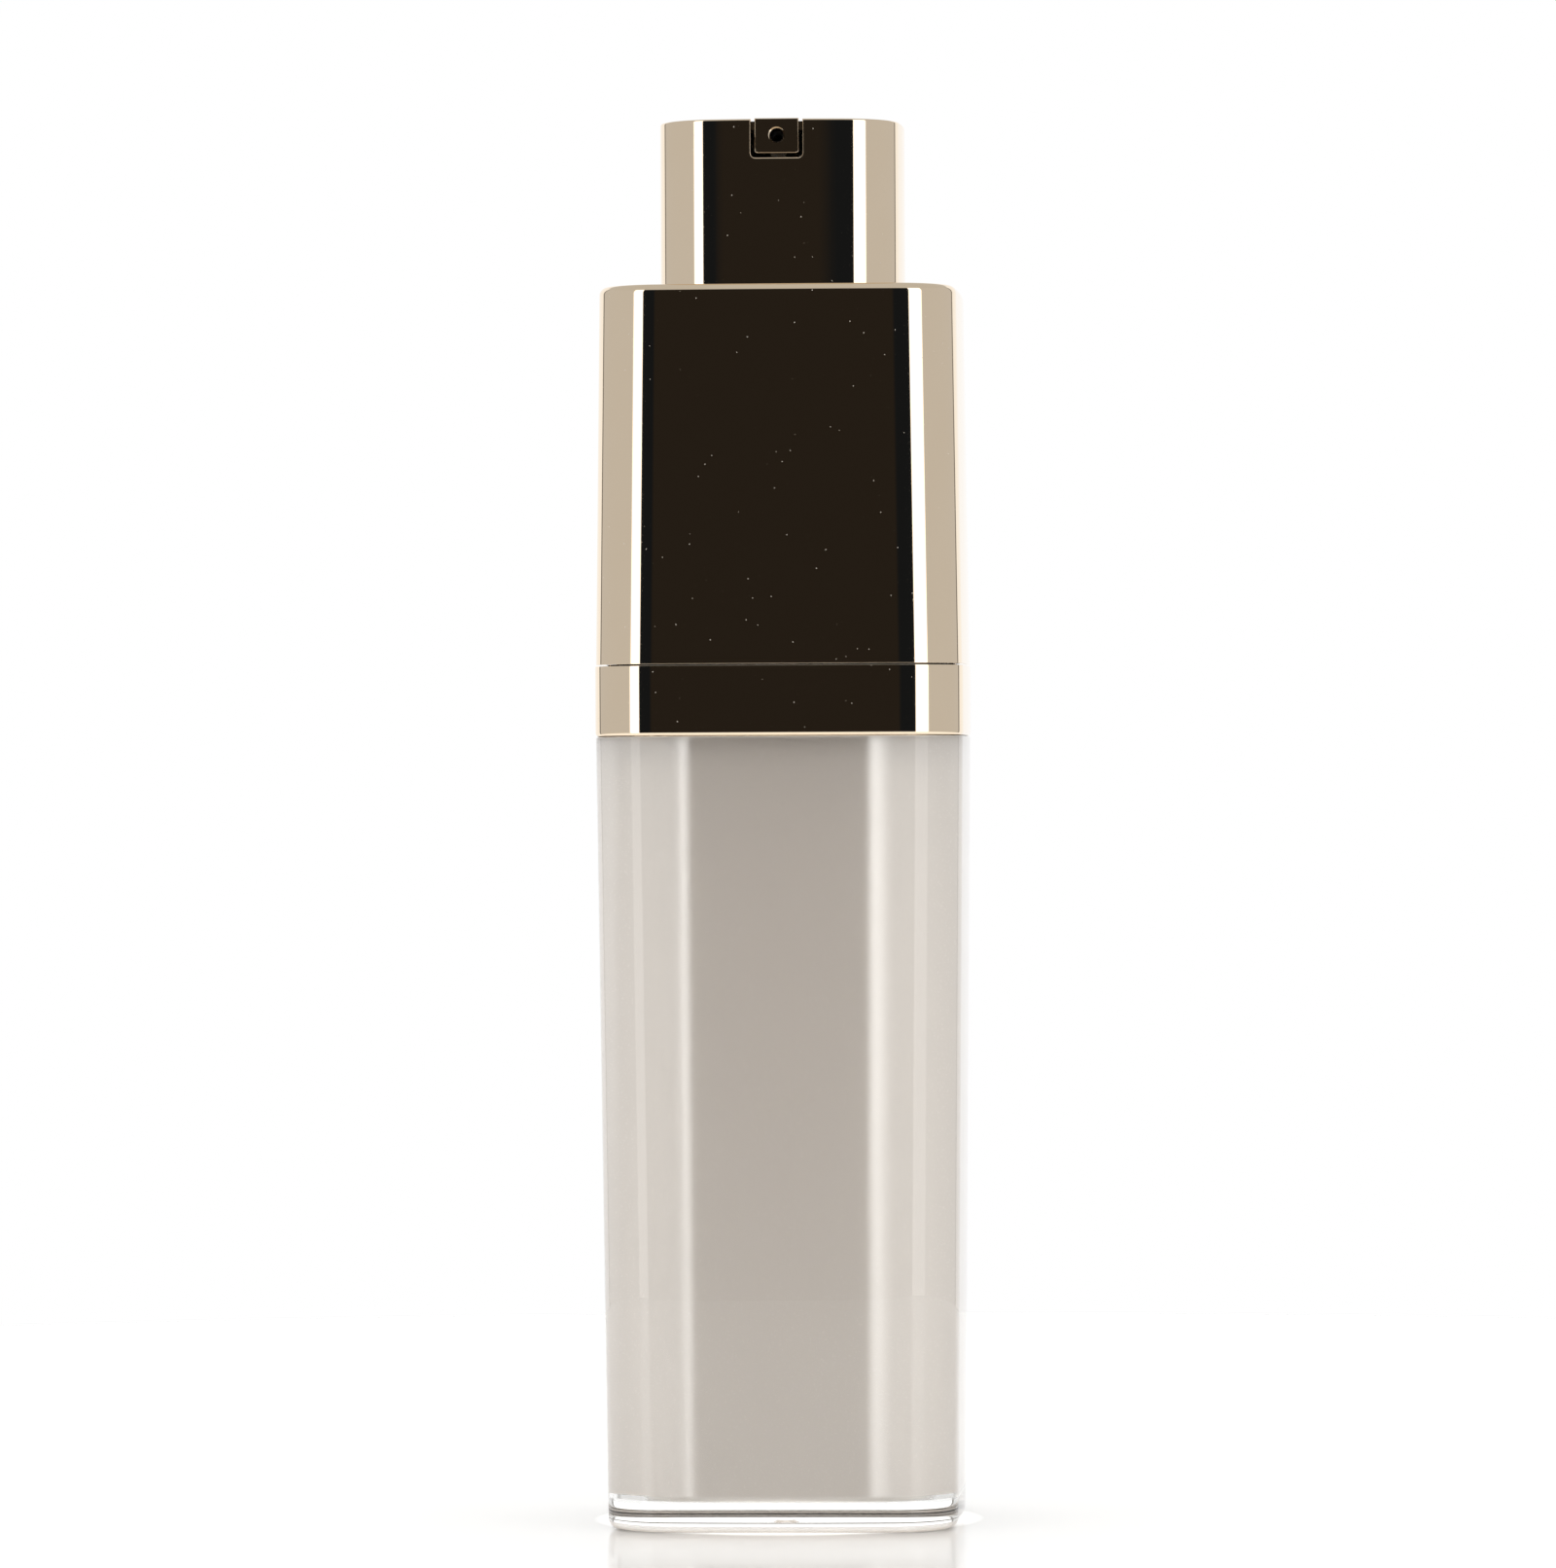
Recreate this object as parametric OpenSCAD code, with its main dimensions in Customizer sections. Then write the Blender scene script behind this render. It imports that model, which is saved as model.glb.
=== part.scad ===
// Square airless pump bottle with a twist-up head, drawn with the head raised.
// Z is the bottle's axis, z = 0 is the table, and the nozzle faces -Y.
// Turning the sleeve drives two radial pins along helical slots, so that the
// inner bottle, the pump and the button slide down into the outer bottle together.

/* [Body] */
// Width across the flats of the collar ring, which all other body widths follow
ring_w = 34; // [30:0.1:44]
// Radius of the four upright corners
corner_r = 6; // [4:0.25:9]
// How far each face bulges in its middle
face_crown = 0.3; // [0.1:0.05:0.6]

/* [Outer bottle] */
// How far each side of the bottle stands in from the collar ring
bottle_inset = 0.05; // [0:0.05:0.5]
// How far each side leans in from the neck end to the foot
bottle_taper = 0.75; // [0:0.05:1.5]
// Height of the square body, from the table to the collar ring
bottle_h = 71.8; // [66:0.2:90]
// Thickness of the clear floor
floor_t = 2.7; // [1.6:0.1:5]
// Thickness of the clear side walls at the floor
bottle_wall = 2.05; // [1.4:0.05:2.3]
// Radius of the cavity's upright corners
cavity_corner_r = 8; // [4:0.5:9]
// Rounding round the foot
foot_round = 1; // [0.4:0.1:2]
// Height of the square neck above the shoulder
neck_h = 3.8; // [3:0.2:6]
// Thickness of the neck's wall
neck_wall = 0.95; // [0.8:0.05:1.1]
// Diameter of the moulding gate's dimple under the floor
gate_d = 3; // [2:0.5:6]
// Depth of the moulding gate's dimple
gate_depth = 0.35; // [0.2:0.05:0.8]

/* [Liner] */
// Thickness of the pearl liner's walls
liner_wall = 0.8; // [0.6:0.05:0.9]
// Thickness of the pearl liner's floor
liner_floor = 0.7; // [0.5:0.1:1.5]

/* [Collar ring] */
// Height of the collar ring
ring_h = 6.4; // [5.6:0.1:9]
// Thickness of the collar ring's wall
ring_wall = 1.15; // [0.9:0.05:1.5]
// Rounding of the ring's lower edge
ring_round = 0.4; // [0.2:0.05:0.8]
// Thickness of the lip that holds the guide tube down
ring_lip = 1; // [0.7:0.1:1.6]

/* [Sleeve] */
// How far each side of the sleeve's lower edge stands in from the collar ring
sleeve_inset = 0.075; // [0:0.025:0.5]
// How far each side leans in from the lower edge to the upper edge
sleeve_taper = 0.425; // [0:0.025:1]
// Height of the sleeve
sleeve_h = 34.25; // [31:0.25:44]
// Thickness of the sleeve's walls
sleeve_wall = 0.95; // [0.7:0.05:1]
// Thickness of the sleeve's top plate
sleeve_plate = 1.2; // [0.8:0.1:2]
// Rounding of the sleeve's upper edge
sleeve_round = 0.7; // [0.3:0.1:0.9]
// Length of the square guide that hangs under the top plate
mouth_guide_h = 9; // [5:0.5:9.6]
// Thickness of the square guide's walls
mouth_wall = 0.8; // [0.6:0.05:1]

/* [Button] */
// Width across the flats of the button
button_w = 22.4; // [21:0.1:22.6]
// Radius of the button's upright corners
button_corner_r = 5.8; // [5.6:0.1:7]
// Height of the button's top above the sleeve when raised
button_show = 15.2; // [12:0.2:18]
// Length of the button's skirt below the sleeve's top
skirt_h = 7.4; // [4:0.2:7.6]
// Thickness of the button's walls
button_wall = 0.9; // [0.6:0.05:1.2]
// Thickness of the button's top
button_top_t = 0.8; // [0.6:0.05:0.9]
// Width of the notch that holds the nozzle
notch_w = 5; // [4.6:0.1:6]
// Depth of the notch below the button's top
notch_h = 3.5; // [3.3:0.1:4.5]
// Width of the nozzle block
nozzle_w = 4; // [3.4:0.1:4.4]
// Height of the nozzle block
nozzle_h = 3.15; // [2.8:0.05:3.2]
// Length of the nozzle block from front to back
nozzle_l = 3; // [2.2:0.2:4]
// Diameter of the nozzle's outlet
orifice_d = 1.2; // [0.8:0.1:1.6]

/* [Twist-up drive] */
// Travel from lowered to raised
lift = 14.8; // [12:0.2:15.4]
// Turn of the sleeve from raised to lowered
turn_deg = 90; // [80:5:110]
// Diameter of the two drive pins
pin_d = 2.6; // [2:0.1:3]
// Clearance between a pin and the edges of its slots
pin_gap = 0.15; // [0.1:0.01:0.25]
// Height of the drive pins above the inner bottle's shoulder
pin_rise = 4.1; // [3.1:0.1:4.7]
// Wall of the cam tube
cam_wall = 0.8; // [0.6:0.05:0.9]
// Wall of the guide tube
guide_wall = 0.8; // [0.6:0.05:0.9]
// Thickness of the guide tube's corner fins
fin_t = 1.6; // [1:0.2:3]

/* [Inner bottle] */
// Room round the inner bottle in the liner's foot
inner_room = 0.4; // [0.3:0.05:1]
// Wall of the inner bottle
inner_wall = 0.9; // [0.7:0.05:1.2]
// Depth of the inner bottle's shoulder below the sleeve's top when raised
shoulder_drop = 19.9; // [19.6:0.1:24]
// Thickness of the inner bottle's shoulder
shoulder_t = 1.2; // [0.8:0.1:2]
// Width of the inner bottle's shoulder round its neck
shoulder_w = 2.4; // [2:0.1:3.4]
// Height of the inner bottle's neck
inner_neck_h = 4.9; // [4.9:0.1:5.2]
// Height of the follower piston
follower_h = 8; // [6:0.5:12]

/* [Pump] */
// Bore of the pump barrel
barrel_bore = 8; // [7:0.2:9]
// Wall of the pump barrel
barrel_wall = 1; // [0.8:0.1:1.4]
// Stroke of the button
stroke = 4.5; // [3.5:0.1:4.5]
// Outer diameter of the stem
stem_d = 5; // [4:0.1:5.6]
// Bore of the stem
stem_bore = 2.4; // [1.6:0.1:2.8]
// Diameter of the inlet ball
ball_d = 3.6; // [3:0.1:4]
// Lift of the inlet ball off its seat
ball_lift = 0.8; // [0.5:0.1:1]
// Diameter of the spring's wire
wire_d = 0.7; // [0.5:0.05:0.8]
// Number of working curls in the return spring
spring_curls = 5; // [4:1:6]
// Height of the return spring when raised
spring_h = 9.3; // [8.6:0.1:9.3]

/* [Hidden] */
$fn = 96;

gold = [0.83, 0.74, 0.60];
clear = [0.86, 0.90, 0.92, 0.35];
pearl = [0.86, 0.85, 0.82];
white = [0.93, 0.93, 0.92];
steel = [0.72, 0.73, 0.74];
rubber_grey = [0.62, 0.62, 0.60];

eps = 0.01;             // overshoot of a cutter past the face it opens
seam = 0.15;            // open seam between the ring and the sleeve
slip = 0.05;            // radial clearance of a sliding or turning fit
mouth_gap = 0.2;        // clearance round the button in the sleeve's mouth
skirt_step = 0.15;      // how far the hidden part of the skirt stands in
step_drop = 0.6;        // the step's distance below the sleeve's top
edge_break = 0.15;      // broken edge of a sharp moulding
ring_room = 0.5;        // room between the neck and the ring, for the cam tube's rim
rim_skirt = 1.4;        // depth of that rim down the outside of the neck
foot_ledge = 0.3;       // ledge round the guide tube's foot, under the ring's lip
pin_short = 0.2;        // how far a pin ends inside the guide tube's outer face
slot_pass = 0.6;        // how far a slot's cutter passes the wall on each side
neck_bead = 0.3;        // snap bead round the inner bottle's neck

// Heights above the table with the head raised.
neck_top = bottle_h + neck_h;
cam_flange_t = 0.8;
cam_flange_top = neck_top + cam_flange_t;
guide_foot_z = cam_flange_top + seam;
ring_top = bottle_h + ring_h;
guide_foot_top = ring_top - ring_lip - slip;
sleeve_z = ring_top + seam;
sleeve_top = sleeve_z + sleeve_h;
button_top = sleeve_top + button_show;
skirt_z = sleeve_top - skirt_h;
slot_w = pin_d + 2 * pin_gap;
tube_margin = 1.2;      // wall of a slotted tube beyond the end of its slot
guide_over = 1;         // how far the guide tube reaches above the cam tube
shoulder_z = sleeve_top - shoulder_drop;
pin_z = shoulder_z + pin_rise;
cam_top = pin_z + slot_w / 2 + tube_margin;
inner_z = floor_t + liner_floor + seam + lift;
inner_neck_top = shoulder_z + inner_neck_h;
gasket_t = 0.5;
flange_t = 1;
flange_z = inner_neck_top + gasket_t;
closure_t = 1.2;
closure_z = flange_z + flange_t;
closure_top = closure_z + closure_t;
collar_foot_z = shoulder_z + 2 * slip;

// Half widths and radii, from the ring inwards.
bottle_top_half = ring_w / 2 - bottle_inset;
bottle_foot_half = bottle_top_half - bottle_taper;
sleeve_foot_half = ring_w / 2 - sleeve_inset;
sleeve_top_half = sleeve_foot_half - sleeve_taper;
ring_inner = ring_w / 2 - ring_wall;
ring_inner_corner = corner_r - ring_wall;
neck_half = ring_inner - ring_room;
neck_corner = corner_r - (bottle_top_half - neck_half);
cavity_top_half = neck_half - neck_wall;
cavity_foot_half = bottle_foot_half - bottle_wall;
tube_gap = 0.15;        // radial gap between the two slotted tubes
guide_foot_r = ring_inner - tube_gap;
guide_outer_r = guide_foot_r - foot_ledge;
guide_r = guide_outer_r - guide_wall;
cam_outer_r = guide_r - tube_gap;
cam_r = cam_outer_r - cam_wall;
pin_reach = guide_outer_r - pin_short;
liner_foot_half = cavity_foot_half - slip - liner_wall;
inner_r = liner_foot_half - inner_room;
bore_r = inner_r - inner_wall;
inner_neck_r = inner_r - shoulder_w;
flange_r = inner_neck_r - 2 * slip;
gasket_w = 2.5;
button_half = button_w / 2;
mouth_half = button_half + mouth_gap;
button_inner = button_half - button_wall - skirt_step;

// Pump.
barrel_r = barrel_bore / 2;
barrel_outer_r = barrel_r + barrel_wall;
seat_rise = 0.3;        // height of the ball's seat above the inner bottle's shoulder
seat_z = shoulder_z + seat_rise;
seat_r = 1.3;           // radius of the inlet hole
well_room = 0.5;        // room round the ball
ball_well_r = ball_d / 2 + well_room;
ball_z = seat_z + ball_d / 2 * sqrt(2) - seat_r + slip;
well_top = ball_z + ball_d / 2 + ball_lift + slip;
cage_t = 0.8;
cage_top = well_top + cage_t;
piston_h = 2.8;
foot_t = 0.8;           // thickness of the stem's foot
foot_gap = 0.2;         // room left under the stem's foot at full stroke
piston_z = cage_top + stroke + foot_t + foot_gap;
piston_slip = 0.6;      // lost motion of the piston on its stem
retainer_z = piston_z + piston_h + piston_slip + 2 * slip;
retainer_plug_h = 1;
retainer_flange_t = 1;
retainer_top = retainer_z + retainer_plug_h + retainer_flange_t;
boss_z = retainer_top + spring_h;
boss_r = barrel_outer_r;
core_top = button_top - button_top_t - slip;
web_h = 3.5;            // height of the core's webs
core_cap = 3.6;         // thickness of the core above the stem's socket
socket_top = core_top - core_cap;
duct_d = 1;
duct_drop = 0.9;        // depth of the duct's axis below the core's top
duct_z = core_top - duct_drop;
nozzle_proud = 0.05;    // how far the nozzle stands out of the button's top
nozzle_set = 0.02;      // how far its face stands in from the button's front
nozzle_top = button_top + nozzle_proud;
nozzle_z = nozzle_top - nozzle_h;
orifice_z = nozzle_z + nozzle_h / 2 + nozzle_proud;
nozzle_front = button_half - nozzle_set;

// Sides of a round shape that becomes facets, and points round a square section.
arc_steps = 8;
face_steps = 6;

// One quarter of a section: half of the crowned side, the corner, half of the next side.
// w is the half width in the middle of a side, r the corner's radius, crown the bulge.
// The corner's centre is on the diagonal, and its arc meets both sides' arcs without a kink.
function side_angle(w, r, crown) = 2 * atan(crown / (w - r));
function side_radius(w, r, a) = (w + r * (sin(a) - cos(a))) / (1 + sin(a) - cos(a));
function quarter(w, r, crown) =
    let (
        a = side_angle(w, r, crown),
        big = side_radius(w, r, a),
        c = (big - r) * sin(a)
    )
    concat(
        [for (i = [0 : face_steps - 1])
            let (t = a * i / face_steps) [w - big + big * cos(t), big * sin(t)]],
        [for (i = [0 : arc_steps])
            let (t = a + (90 - 2 * a) * i / arc_steps) [c + r * cos(t), c + r * sin(t)]],
        [for (i = [face_steps - 1 : -1 : 1])
            let (t = a * i / face_steps) [big * sin(t), w - big + big * cos(t)]]
    );
function turned(p, a) = [p[0] * cos(a) - p[1] * sin(a), p[0] * sin(a) + p[1] * cos(a)];
function section(w, r, crown) =
    [for (k = [0 : 3]) for (p = quarter(w, r, crown)) turned(p, 90 * k)];

// Skin through a stack of sections, each given as [z, half width, corner radius].
module loft(levels, crown = face_crown) {
    rings = [for (l = levels) [for (p = section(l[1], l[2], crown)) [p[0], p[1], l[0]]]];
    n = len(rings[0]);
    top = len(rings) - 1;
    polyhedron(
        points = [for (ring = rings) for (p = ring) p],
        faces = concat(
            [[for (i = [0 : n - 1]) i]],
            [for (k = [0 : top - 1]) for (i = [0 : n - 1])
                let (j = (i + 1) % n)
                [k * n + i, (k + 1) * n + i, (k + 1) * n + j]],
            [for (k = [0 : top - 1]) for (i = [0 : n - 1])
                let (j = (i + 1) % n)
                [k * n + i, (k + 1) * n + j, k * n + j]],
            [[for (i = [n - 1 : -1 : 0]) top * n + i]]
        )
    );
}

// Levels of a quarter-round edge between a side at half width w and a flat at height z.
// dir is -1 for a lower edge and 1 for an upper one.
function rounded_edge(z, w, r, edge, dir, steps = 4) =
    [for (i = [0 : steps])
        let (
            t = 90 * (dir < 0 ? i : steps - i) / steps,
            inset = edge * (1 - sin(t))
        )
        [z - dir * edge * (1 - cos(t)), w - inset, r - inset]];

module tube(outer_r, inner_r, z0, z1) {
    translate([0, 0, z0])
        difference() {
            cylinder(h = z1 - z0, r = outer_r);
            translate([0, 0, -eps])
                cylinder(h = z1 - z0 + 2 * eps, r = inner_r);
        }
}

module bore(r, z0, z1) {
    translate([0, 0, z0])
        cylinder(h = z1 - z0, r = r);
}

module cone(r0, r1, z0, z1) {
    translate([0, 0, z0])
        cylinder(h = z1 - z0, r1 = r0, r2 = r1);
}

// Outer bottle: tapered clear shell, rounded foot, square neck, gate dimple under the floor.
module outer_bottle() {
    color(clear)
        difference() {
            union() {
                loft(concat(
                    rounded_edge(0, bottle_foot_half, corner_r, foot_round, -1),
                    [[bottle_h, bottle_top_half, corner_r]]
                ));
                loft([
                    [bottle_h - neck_wall, neck_half, neck_corner],
                    [neck_top, neck_half, neck_corner]
                ]);
            }
            loft([
                [floor_t, cavity_foot_half, cavity_corner_r],
                [bottle_h, cavity_top_half, cavity_corner_r],
                [neck_top + eps, cavity_top_half, cavity_corner_r]
            ]);
            translate([0, 0, -eps])
                cylinder(h = gate_depth + eps, d1 = gate_d, d2 = gate_d / 2);
        }
}

// Pearl liner: a square cup that follows the cavity and leaves a round bottle room inside.
module inner_liner() {
    outer_corner = cavity_corner_r - slip;
    inner_corner = outer_corner - liner_wall / 2;
    foot = cavity_foot_half - slip;
    head = cavity_top_half - slip;
    liner_top = neck_top - eps;
    color(pearl)
        difference() {
            loft(concat(
                rounded_edge(floor_t, foot, outer_corner, foot_round / 2, -1, 3),
                [[bottle_h, head, outer_corner], [liner_top, head, outer_corner]]
            ));
            loft([
                [floor_t + liner_floor, liner_foot_half, inner_corner],
                [bottle_h, head - liner_wall, inner_corner],
                [neck_top + eps, head - liner_wall, inner_corner]
            ]);
        }
}

// Collar ring: snapped over the neck, its lip holds the guide tube's foot down.
module collar_ring() {
    half = ring_w / 2;
    color(gold)
        difference() {
            loft(concat(
                rounded_edge(bottle_h, half, corner_r, ring_round, -1, 3),
                rounded_edge(ring_top, half, corner_r, edge_break, 1, 2)
            ));
            loft([
                [bottle_h - eps, ring_inner, ring_inner_corner],
                [ring_top - ring_lip, ring_inner, ring_inner_corner]
            ]);
            bore(guide_outer_r + tube_gap / 2, ring_top - ring_lip - eps, ring_top + eps);
        }
}

// Outline of a helical slot, unrolled: at station i of n it lies at arc length s along the
// centre line and is 2 * h wide, narrowing round both ends.
slot_end_steps = 6;
slot_run_steps = 18;
cam_mid_r = cam_r + cam_wall / 2;
cam_arc = cam_mid_r * turn_deg * PI / 180;
cam_run = sqrt(cam_arc * cam_arc + lift * lift);
cam_slope = atan(lift / cam_arc);
slot_tip = 0.25;        // half width of the blunt tip at each end of a slot
function slot_h(d) = max(slot_tip, sqrt(max(0, pow(slot_w / 2, 2) - d * d)));
slot_stations = concat(
    [for (i = [0 : slot_end_steps - 1])
        let (d = slot_w / 2 * cos(90 * i / slot_end_steps)) [-d, slot_h(d)]],
    [for (i = [0 : slot_run_steps]) [cam_run * i / slot_run_steps, slot_w / 2]],
    [for (i = [1 : slot_end_steps])
        let (d = slot_w / 2 * sin(90 * i / slot_end_steps)) [cam_run + d, slot_h(d)]]
);
// Point of the slot's edge on the cylinder of radius r: side is -1 or 1.
function slot_point(s, h, side, r) =
    let (
        along = s * cos(cam_slope) + side * h * sin(cam_slope),
        z = pin_z - s * sin(cam_slope) + side * h * cos(cam_slope),
        a = along / cam_mid_r * 180 / PI
    )
    [r * cos(a), r * sin(a), z];

// Solid that cuts one helical slot, from the raised pin's place down and round by the turn.
module helical_cutter() {
    r0 = cam_r - slot_pass;
    r1 = cam_outer_r + slot_pass;
    last = len(slot_stations) - 1;
    polyhedron(
        points = [for (st = slot_stations)
            each [
                slot_point(st[0], st[1], -1, r0), slot_point(st[0], st[1], -1, r1),
                slot_point(st[0], st[1], 1, r1), slot_point(st[0], st[1], 1, r0)
            ]],
        faces = concat(
            [[2, 1, 0], [3, 2, 0]],
            [for (k = [0 : last - 1]) for (i = [0 : 3])
                let (j = (i + 1) % 4)
                [4 * (k + 1) + j, 4 * (k + 1) + i, 4 * k + i]],
            [for (k = [0 : last - 1]) for (i = [0 : 3])
                let (j = (i + 1) % 4)
                [4 * k + j, 4 * (k + 1) + j, 4 * k + i]],
            [[4 * last, 4 * last + 1, 4 * last + 2], [4 * last, 4 * last + 2, 4 * last + 3]]
        )
    );
}

// Cam tube: stands on the neck under a square rim that keys it, two helical through slots.
module cam_tube() {
    rim_half = ring_inner - slip;
    rim_corner = ring_inner_corner - slip;
    rim_z = neck_top - rim_skirt;
    color(white)
        difference() {
            union() {
                tube(cam_outer_r, cam_r, neck_top, cam_top);
                difference() {
                    loft([
                        [rim_z, rim_half, rim_corner],
                        [cam_flange_top, rim_half, rim_corner]
                    ]);
                    loft([
                        [rim_z - eps, neck_half, neck_corner],
                        [neck_top, neck_half, neck_corner]
                    ]);
                    bore(cam_r, neck_top - eps, cam_flange_top + eps);
                }
            }
            for (half = [0, 180])
                rotate([0, 0, half])
                    helical_cutter();
        }
}

// Shoulder sleeve: tapered metallised shell, flat top with a square mouth and a guide under it.
module shoulder_sleeve() {
    mouth_corner = button_corner_r + mouth_gap;
    guide_half = mouth_half + mouth_wall;
    guide_corner = mouth_corner + mouth_wall;
    inner_corner = corner_r - sleeve_wall;
    color(gold)
        difference() {
            loft(concat(
                [[sleeve_z, sleeve_foot_half - edge_break, corner_r - edge_break],
                 [sleeve_z + edge_break, sleeve_foot_half, corner_r]],
                rounded_edge(sleeve_top, sleeve_top_half, corner_r, sleeve_round, 1)
            ));
            difference() {
                loft([
                    [sleeve_z - eps, sleeve_foot_half - sleeve_wall, inner_corner],
                    [sleeve_top - sleeve_plate, sleeve_top_half - sleeve_wall, inner_corner]
                ]);
                loft([
                    [sleeve_top - sleeve_plate - mouth_guide_h, guide_half, guide_corner],
                    [sleeve_top, guide_half, guide_corner]
                ]);
            }
            loft([
                [sleeve_z, mouth_half, mouth_corner],
                [sleeve_top + eps, mouth_half, mouth_corner]
            ]);
        }
}

// Guide tube: turns with the sleeve, its straight slots carry the pins up and down.
module guide_tube() {
    guide_top = cam_top + guide_over;
    fin_z = sleeve_z + fin_t;
    fin_corner = corner_r - sleeve_wall;
    color(white)
        difference() {
            union() {
                tube(guide_outer_r, guide_r, guide_foot_z, guide_top);
                tube(guide_foot_r, guide_r, guide_foot_z, guide_foot_top);
                intersection() {
                    for (a = [45 : 90 : 315])
                        rotate([0, 0, a])
                            translate([guide_outer_r - guide_wall / 2, -fin_t / 2, fin_z])
                                cube([ring_w / 2, fin_t, guide_top - fin_z]);
                    loft([
                        [sleeve_z, sleeve_foot_half - sleeve_wall - slip, fin_corner],
                        [sleeve_top - sleeve_plate, sleeve_top_half - sleeve_wall - slip, fin_corner]
                    ]);
                }
            }
            for (half = [0, 180])
                rotate([0, 0, half]) {
                    translate([guide_r - slot_pass, -slot_w / 2, guide_foot_z - eps])
                        cube([guide_wall + 2 * slot_pass, slot_w, pin_z - guide_foot_z]);
                    translate([guide_r - slot_pass, 0, pin_z])
                        rotate([0, 90, 0])
                            cylinder(h = guide_wall + 2 * slot_pass, d = slot_w);
                }
        }
}

// Inner bottle: round tube with a shoulder and a beaded neck, open at the bottom.
module inner_bottle() {
    neck_r = inner_neck_r;
    neck_bore_r = neck_r - shoulder_t;
    bead_r = neck_r + neck_bead;
    bead_ramp = 0.5;
    bead_land = 0.4;
    bead_z = inner_neck_top - 3 * bead_ramp;
    color(white)
        difference() {
            rotate_extrude()
                polygon([
                    [0, inner_z], [inner_r, inner_z], [inner_r, shoulder_z], [neck_r, shoulder_z],
                    [neck_r, bead_z - bead_ramp], [bead_r, bead_z], [bead_r, bead_z + bead_land],
                    [neck_r, bead_z + bead_land + bead_ramp], [neck_r, inner_neck_top],
                    [0, inner_neck_top]
                ]);
            bore(bore_r, inner_z - eps, shoulder_z - shoulder_t);
            bore(neck_bore_r, shoulder_z - shoulder_t - eps, inner_neck_top + eps);
        }
}

plug_h = 1.8;
plug_t = 0.9;
follower_rest = 0.8;    // room between the base plug and the follower piston at rest

// Base plug: shallow vented cup pressed into the inner bottle's open end.
module base_plug() {
    vent_d = 1.6;
    color(white)
        difference() {
            bore(bore_r, inner_z, inner_z + plug_h);
            bore(bore_r - plug_t, inner_z + plug_t, inner_z + plug_h + eps);
            bore(vent_d / 2, inner_z - eps, inner_z + plug_h);
        }
}

// Follower piston: two wiping lips, a hollow underside and a crown that fits the shoulder.
module follower_piston() {
    z0 = inner_z + plug_h + follower_rest;
    z1 = z0 + follower_h;
    lip_h = 1.2;
    lip_t = 0.8;
    groove = 1;
    body_t = 3;
    lip_r = bore_r - slip;
    waist_r = lip_r - lip_h / 2;
    crown_r = inner_neck_r - shoulder_t;
    color(white)
        difference() {
            rotate_extrude()
                polygon([
                    [0, z0], [lip_r, z0], [lip_r, z0 + lip_h], [waist_r, z0 + 2 * lip_h],
                    [waist_r, z1 - 2 * lip_h], [lip_r, z1 - lip_h], [lip_r, z1],
                    [lip_r - lip_t, z1], [lip_r - lip_t - lip_h / 2, z1 - groove],
                    [crown_r - groove, z1 - groove], [crown_r - 2 * groove, z1], [0, z1]
                ]);
            bore(waist_r - groove, z0 - eps, z1 - body_t);
        }
}

// Lift collar: snaps over the inner bottle's neck and carries the two drive pins.
module lift_collar() {
    neck_r = inner_neck_r + neck_bead + slip;
    band_r = cam_r - tube_gap;
    pin_margin = 0.6;
    band_z = pin_z - pin_d / 2 - pin_margin;
    color(white)
        difference() {
            union() {
                bore(inner_r, collar_foot_z, band_z);
                bore(band_r, band_z, closure_top);
                for (half = [0, 180])
                    rotate([0, 0, half])
                        translate([0, 0, pin_z])
                            rotate([0, 90, 0])
                                cylinder(h = pin_reach, d = pin_d);
            }
            bore(neck_r, collar_foot_z - eps, closure_z);
            bore(barrel_outer_r + slip, closure_z - eps, closure_top + eps);
        }
}

// Gasket: flat ring between the inner bottle's neck and the pump's flange.
module pump_gasket() {
    color(rubber_grey)
        tube(flange_r, flange_r - gasket_w, inner_neck_top, flange_z);
}

// Pump housing: barrel with a sealing flange, a conical ball seat and an inlet hole.
module pump_housing() {
    nose_t = 1;
    nose_z = seat_z - nose_t;
    color(white)
        difference() {
            union() {
                bore(barrel_outer_r, seat_z, retainer_z + retainer_plug_h);
                cone(barrel_outer_r - nose_t, barrel_outer_r, nose_z, seat_z);
                bore(flange_r, flange_z, closure_z);
            }
            bore(seat_r, nose_z - eps, seat_z + eps);
            cone(seat_r, ball_well_r, seat_z, seat_z + ball_well_r - seat_r);
            bore(ball_well_r, seat_z + ball_well_r - seat_r - eps, well_top + eps);
            bore(barrel_r, well_top, retainer_z + retainer_plug_h + eps);
        }
}

// Ball cage: ring pressed into the barrel above the ball, with four flow windows.
module ball_cage() {
    hole_r = ball_d / 2 - well_room;
    window_r = 0.7;
    window_x = ball_d / 2 + 2 * slip;
    color(white)
        difference() {
            tube(barrel_r, hole_r, well_top, cage_top);
            for (a = [0 : 90 : 270])
                rotate([0, 0, a])
                    translate([window_x, 0, well_top - eps])
                        cylinder(h = cage_t + 2 * eps, r = window_r);
        }
}

// Inlet ball: rests on the conical seat.
module inlet_ball() {
    color(steel)
        translate([0, 0, ball_z])
            sphere(d = ball_d);
}

// Stem retainer: pressed into the barrel's mouth, guides the stem and seats the spring.
module stem_retainer() {
    color(white)
        difference() {
            union() {
                bore(barrel_r, retainer_z, retainer_z + retainer_plug_h);
                bore(barrel_outer_r, retainer_z + retainer_plug_h, retainer_top);
            }
            bore(stem_d / 2 + slip, retainer_z - eps, retainer_top + eps);
        }
}

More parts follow.
